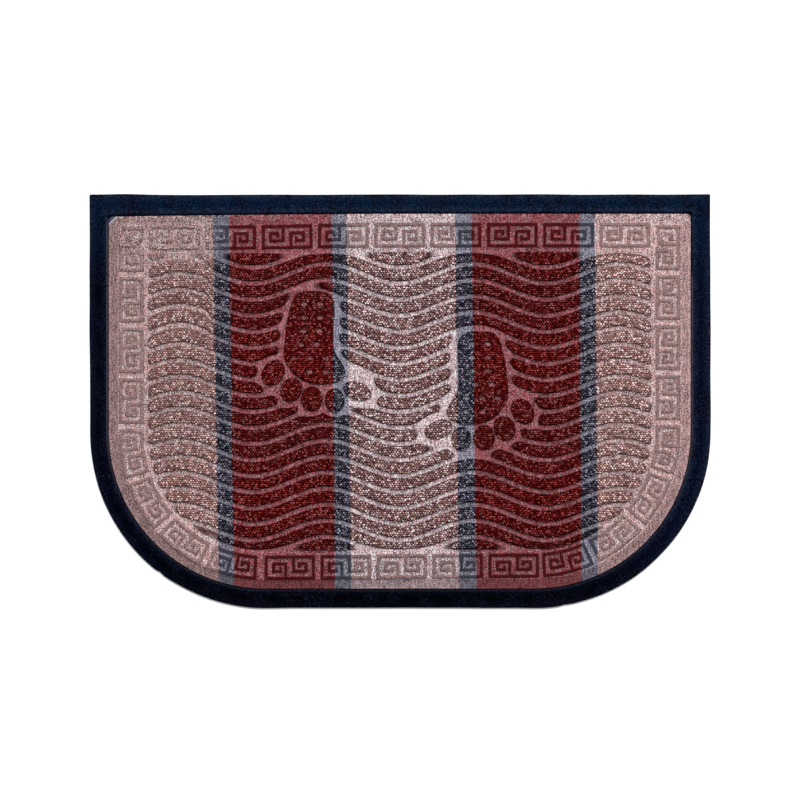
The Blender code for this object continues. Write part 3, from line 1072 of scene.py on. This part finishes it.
# where on the mat, or how far from the carpet's edge, a look fades in or out, and its strength
carpetLook = {
    "wornX": (-180, -172),
    "wornY": (128, 146),
    "palerX": (-190, -110),
    "palerY": (-100, -20),
    "paler": 0.13,
    "rightYarnX": (178, 190),
    "rightYarn": 0.13,
    "bandX": (160, 172),
    "bandLight": 0.22,
    "bandDark": 0.1,
    "lineShare": 0.55,
    "strip": (8.6, 9.8),
    "stripX": (-270, 270),
    "stripY": (165, 175),
    "rim": (1.2, 2.8),
    # where the painted shade of a fold runs
    "foldShadeX": -229.6,
    "foldShadeY": (90, 185),
    "frayed": (7.6, 8.8),
    "frayedColor": (180, 172, 182),
    "bared": (6, 6.8),
    "baredColor": (58, 66, 84),
    "warmTint": (1, 0.8, 0.74),
}


def fading(value, name):
    # 0 before the span of this name and 1 past it
    return clamped(value, *carpetLook[name])


def worn(x, y):
    # 1 at the far top corner, where the ribs hardly show, and 0 further in
    return fading(y, "wornY") * (1 - fading(x, "wornX"))


def paler(x, y):
    # the carpet is a little paler at the lower left
    return 1 + (1 - fading(x, "palerX")) * (1 - fading(y, "palerY")) * carpetLook["paler"]


def yarnFinish(name):
    yarn = yarns[name]
    material, tree, shader = newFinish(name + " yarn", {"Roughness": 0.95, "Specular IOR Level": 0.02})
    place, x, y, z = placeInMm(tree)
    count = len(yarn["tones"])
    stops = [((number + 0.5) / count, screenColor(*tone)) for number, tone in enumerate(yarn["tones"])]
    color = colorAlong(tree, attribute(tree, "tone"), stops)
    color = mixColors(tree, 1.0, color, colorAlong(tree, attribute(tree, "fleck"), flecks, "CONSTANT"),
                      "MULTIPLY")
    # how high up its loop a place lies, for the painted shade at each loop's foot
    high = clamped(z, carpet["bed"] + 0.1, carpet["bed"] + 0.8)
    # painted shade: loops near the edges of the raised parts are darker
    clearOfEdgeShade = clamped(attribute(tree, "inside"), 0.2, 2.2)
    fibre = noiseAt(tree, place, 0.7, 3.0, 0.7)
    streak = noiseAt(tree, drawnOut(tree, place, 0.33), 4, 1.0)
    patch = noiseAt(tree, place, 9, 1.0)
    tone = (fibre * 0.6 + 0.7) * (clearOfEdgeShade * 0.2 + 0.8) * (patch * 0.5 + 0.75) * (streak * 0.9 + 0.55)
    tone = tone * paler(x, y) * (fading(x, "rightYarnX") * carpetLook["rightYarn"] + 1)
    color = scaled(tree, color, tone)
    lineShare = inKeyBand(attribute(tree, "edge")) * carpetLook["lineShare"]
    color = mixColors(tree, lineShare, color, screenColor(*yarn["line"]))
    # painted shade: each loop darkens to the bed's colour towards its foot
    color = mixColors(tree, high * 0.8 + 0.2, screenColor(*yarn["bed"]), color)
    color = mixColors(tree, worn(x, y) * 0.55, color, screenColor(*yarn["pressed"]))
    feed(tree, shader, "Base Color", color)
    addBump(tree, shader, fibre, 0.15)
    return material


def byStripe(tree, x, y, which):
    # the colour of the stripe here
    color = None
    for row in stripeRows:
        shade = row["shade"] if which in ("pressed", "haze") else 1
        own = tuple(c * shade for c in screenColor(*yarns[row["yarn"]][which]))
        if color is None:
            color = own
        else:
            away = x - stripeEdge(row, y)
            color = mixColors(tree, clamped(away, -0.5, 0.5), color, own)
    return color


# how the strip between the border and the keys darkens down the mat: (y, strength)
stripShades = [(-185, 0.55), (-110, 0.6), (-40, 0.69), (165, 0.72), (172, 0.8), (182, 0.8)]


def carpetFinish():
    material, tree, shader = newFinish("pressed and raised carpet", {
        "Roughness": 0.92, "Specular IOR Level": 0.02,
    })
    place, x, y, _ = placeInMm(tree)
    depth = attribute(tree, "depth")
    edge = attribute(tree, "edge")

    # the stripes, with slightly ragged edges
    ragged = x + (noiseAt(tree, place, 2.2) - 0.5) * 2.4
    pressed, haze, bed, line = (byStripe(tree, ragged, y, which)
                                for which in ("pressed", "haze", "bed", "line"))

    # the strip beside the border: darker down the mat, and warmer
    low, high = stripShades[0][0], stripShades[-1][0]
    stops = [((at - low) / (high - low), (shade,) * 3) for at, shade in stripShades]
    strip = 1 - fading(edge, "strip")
    stripShade = colorAlong(tree, clamped(y, low, high), stops) * (fading(x, "stripX") * 0.22 + 0.9)
    stripShade = 1 - strip + strip * stripShade
    notTop = 1 - fading(y, "stripY")
    rim = (1 - fading(edge, "rim")) * notTop
    side = strip * notTop

    # worn haze and warmer patches, then fine grain, knitted columns, painted shade of creases and a fold,
    # and broad unevenness
    hazy = clamped(noiseAt(tree, place, 5, 3.0), 0.42, 0.6)
    pressed = mixColors(tree, hazy * (0.8 - side * 0.6), pressed, haze)
    warm = clamped(noiseAt(tree, place, 3, 1.0), 0.5, 0.64) * 0.5
    warmer = mixColors(tree, 1.0, pressed, carpetLook["warmTint"], "MULTIPLY")
    pressed = mixColors(tree, warm + (0.1 - warm) * side, pressed, warmer)
    grain = noiseAt(tree, place, 1.3, 1.0, 0.5)
    columns = noiseAt(tree, drawnOut(tree, place, 7), 1.2, 1.0)
    # painted shade: thin dark lines as creases would cast
    paintedCreaseShade = clamped(noiseAt(tree, drawnOut(tree, place, 12), 1.3, 0.0), 0.72, 0.78)
    broad = noiseAt(tree, place, 14, 2.0)
    # painted shade: one dark fold line down from the top edge
    paintedFoldShade = (x - carpetLook["foldShadeX"] - (broad - 0.5) * 2).math("ABSOLUTE")
    paintedFoldShade = (1 - clamped(paintedFoldShade, 0.2, 0.9)) * fading(y, "foldShadeY")
    tone = (grain - 0.5) * (5.2 - side * 1.5) + (columns - 0.5) * 1.8 + (broad - 0.5) * 0.5
    band = inKeyBand(edge)
    bandLight = fading(x.math("ABSOLUTE"), "bandX") * carpetLook["bandLight"] - carpetLook["bandDark"]
    tone = tone + 1 + rim * 0.35 - paintedCreaseShade * 0.4 - paintedFoldShade * 0.5 + band * bandLight
    tone = tone.math("MAXIMUM", 0.2) * stripShade * paler(x, y)
    pressed = scaled(tree, pressed, tone * (1 - worn(x, y) * 0.1))

    # the far top corner, frayed, where the slate backing shows
    corner = x + halfX - carpet["inset"] + (halfY - carpet["inset"] - mat["mouthDrop"] - y)
    pale = (1 - fading(corner, "frayed")) * 0.6
    pressed = mixColors(tree, pale, pressed, screenColor(*carpetLook["frayedColor"]))
    pressed = mixColors(tree, 1 - fading(corner, "bared"), pressed, screenColor(*carpetLook["baredColor"]))

    # the raised bed, dark as painted shade between the loops, with a thin dark outline of painted shade
    # along its walls
    bed = mixColors(tree, band, bed, line)
    bed = mixColors(tree, worn(x, y) * 0.7, bed, pressed)
    bed = scaled(tree, bed, (grain - 0.5) * 2.5 + 1)
    depth = depth - band * 0.2
    raised = clamped(depth + (grain - 0.5) * 0.6, -0.15, 0.35)
    color = mixColors(tree, raised, pressed, bed)
    # painted shade: darker along the walls of the raised parts
    outline = 1 - clamped((depth - 0.1).math("ABSOLUTE"), 0.3, 0.8)
    feed(tree, shader, "Base Color", scaled(tree, color, 1 - outline * 0.35))
    addBump(tree, shader, grain, 0.35)
    return material


# the black rubber's tone half-way across each side, painted lighter or darker as the light falls there,
# and its painted highlight near the outer edge and inner lip
rubberSideLightTones = {
    "left": {"middle": (0, 0, 8), "rim": (12, 17, 33)},
    "right": {"middle": (0, 5, 25), "rim": (24, 30, 46)},
    "top": {"middle": (0, 16, 36), "rim": (20, 30, 47)},
    "bottom": {"middle": (0, 0, 2), "rim": (5, 8, 19)},
}
# and how much of the painted highlight shows: (inset, share)
rimHighlightShares = [(0, 0.9), (2, 0.7), (5, 0.3), (9, 0), (12, 0.2), (15.5, 0.8), (18.7, 0.8)]
rubberLook = {
    "rightX": (-60, 260),
    "topY": (110, 190),
    "bottomY": (-190, -110),
    # where the painted highlight on the inner lip runs and fades
    "lipOuter": (16.4, 17),
    "lipInner": (18.2, 18.6),
    "lipTop": (172, 178),
    "lipLow": (-100, 0),
    "dullX": (0, 10),
    "dullY": (118, 128),
    "cloudColor": (6, 5, 20),
    "dustColor": (52, 66, 84),
    "lipHighlightColor": (66, 63, 75),
}


# painted light: the rubber's tone on each side, as the light falls there
def bySideLight(tree, x, y, which):
    left, right, top, bottom = (screenColor(*side[which]) for side in rubberSideLightTones.values())
    color = mixColors(tree, clamped(x, *rubberLook["rightX"]), left, right)
    color = mixColors(tree, clamped(y, *rubberLook["topY"]), color, top)
    return mixColors(tree, 1 - clamped(y, *rubberLook["bottomY"]), color, bottom)


def rubberFinish():
    material, tree, shader = newFinish("moulded rubber", {"Specular IOR Level": 0.01})
    place, x, y, _ = placeInMm(tree)
    inset = attribute(tree, "inset")
    fine = noiseAt(tree, place, 1.7, 2.0, 0.6)
    broad = noiseAt(tree, place, 16, 3.0)
    lastInset = rimHighlightShares[-1][0]
    stops = [(at / lastInset, (share,) * 3) for at, share in rimHighlightShares]
    # painted highlight near the outer edge and the inner lip
    rim = colorAlong(tree, clamped(inset, 0, lastInset), stops)
    color = mixColors(tree, rim, bySideLight(tree, x, y, "middle"), bySideLight(tree, x, y, "rim"))
    cloud = clamped(broad, 0.45, 0.65) * 0.7
    color = mixColors(tree, cloud, color, screenColor(*rubberLook["cloudColor"]))
    dust = clamped(fine, 0.5, 0.75) * clamped(broad, 0.35, 0.6)
    color = mixColors(tree, dust * 0.1, color, screenColor(*rubberLook["dustColor"]))
    color = scaled(tree, color, ((fine - 0.5) * 6 + 1).math("MAXIMUM", 0.1))
    # painted highlight: a thin light line on the inner lip, lit at the bottom and sides, not along the top
    lipHighlight = clamped(inset, *rubberLook["lipOuter"]) - clamped(inset, *rubberLook["lipInner"])
    lipHighlight = lipHighlight * (1 - clamped(y, *rubberLook["lipTop"])) * (clamped(y, *rubberLook["lipLow"]) * 0.7 + 0.1)
    lipHighlight = lipHighlight * (1 - clamped(x, *rubberLook["dullX"]) * clamped(y, *rubberLook["dullY"]))
    lipHighlight = lipHighlight * clamped(fine, 0.3, 0.45)
    color = mixColors(tree, lipHighlight, color, screenColor(*rubberLook["lipHighlightColor"]))
    feed(tree, shader, "Base Color", color)
    feed(tree, shader, "Roughness", broad * 0.2 + fine * 0.15 + 0.38)
    addBump(tree, shader, fine + broad * 2, 0.12)
    return material


carpetFace.data.materials.append(carpetFinish())
trayPiece.data.materials.append(rubberFinish())

pileTree = makePileTree()
yarnFinishes = {name: yarnFinish(name) for name in yarns}
pilePieces = []
for number, (row, following) in enumerate(zip(stripeRows, stripeRows[1:] + [lastEdge])):
    piece = makePile(pileTree, row, following, number, yarnFinishes[row["yarn"]])
    pilePieces.append(piece)
    print(piece.name, len(piece.data.polygons), "faces", len(piece.data.vertices), "points")

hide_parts("carpet_panel")
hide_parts("rubber_tray")
for piece in [carpetFace, trayPiece, *pilePieces]:
    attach(piece, "root")
print("pieces dressed and riding")

# the studio: a pale floor, soft light from the mat's straight side and from all round
studio = {
    "cameraLens": 200,
    "frameWidth": 772.8,
    "aim": (0.3, 1.2),
    "floorSize": 8,
    "floorColor": (0.9, 0.9, 0.9, 1),
    "airStrength": 0.42,
}


def softLight(name, place, size, power):
    # an area light that shines at the mat's middle
    light = bpy.data.lights.new(name, "AREA")
    light.shape = "RECTANGLE"
    light.size, light.size_y = size
    light.energy = power
    lamp = addObject(name, light)
    lamp.location = place
    lamp.rotation_euler = (-lamp.location).to_track_quat("-Z", "Y").to_euler()
    lamp.visible_camera = False


reach = studio["floorSize"] / 2
corners = [(-reach, -reach, 0), (reach, -reach, 0), (reach, reach, 0), (-reach, reach, 0)]
floor = newMesh("floor", corners, [(0, 1, 2, 3)])
floor.data.materials.append(newFinish("pale floor", {
    "Base Color": studio["floorColor"], "Roughness": 0.9, "Specular IOR Level": 0.1,
})[0])

softLight("window light", place=(0.35, 2.6, 3.4), size=(1.2, 0.8), power=195)
softLight("top light", place=(0, 0.3, 3.2), size=(2.6, 2.6), power=15)

world = bpy.data.worlds.new("studio air")
world.use_nodes = True
air = world.node_tree.nodes["Background"]
air.inputs["Color"].default_value = (1, 1, 1, 1)
air.inputs["Strength"].default_value = studio["airStrength"]
bpy.context.scene.world = world

cameraData = bpy.data.cameras.new("camera")
cameraData.lens = studio["cameraLens"]
camera = addObject("camera", cameraData)
cameraHeight = studio["frameWidth"] * studio["cameraLens"] / cameraData.sensor_width
camera.location = (studio["aim"][0] * mm, studio["aim"][1] * mm, (cameraHeight + carpet["bed"]) * mm)
bpy.context.scene.camera = camera
bpy.context.scene.view_settings.view_transform = "Standard"
print("studio set")
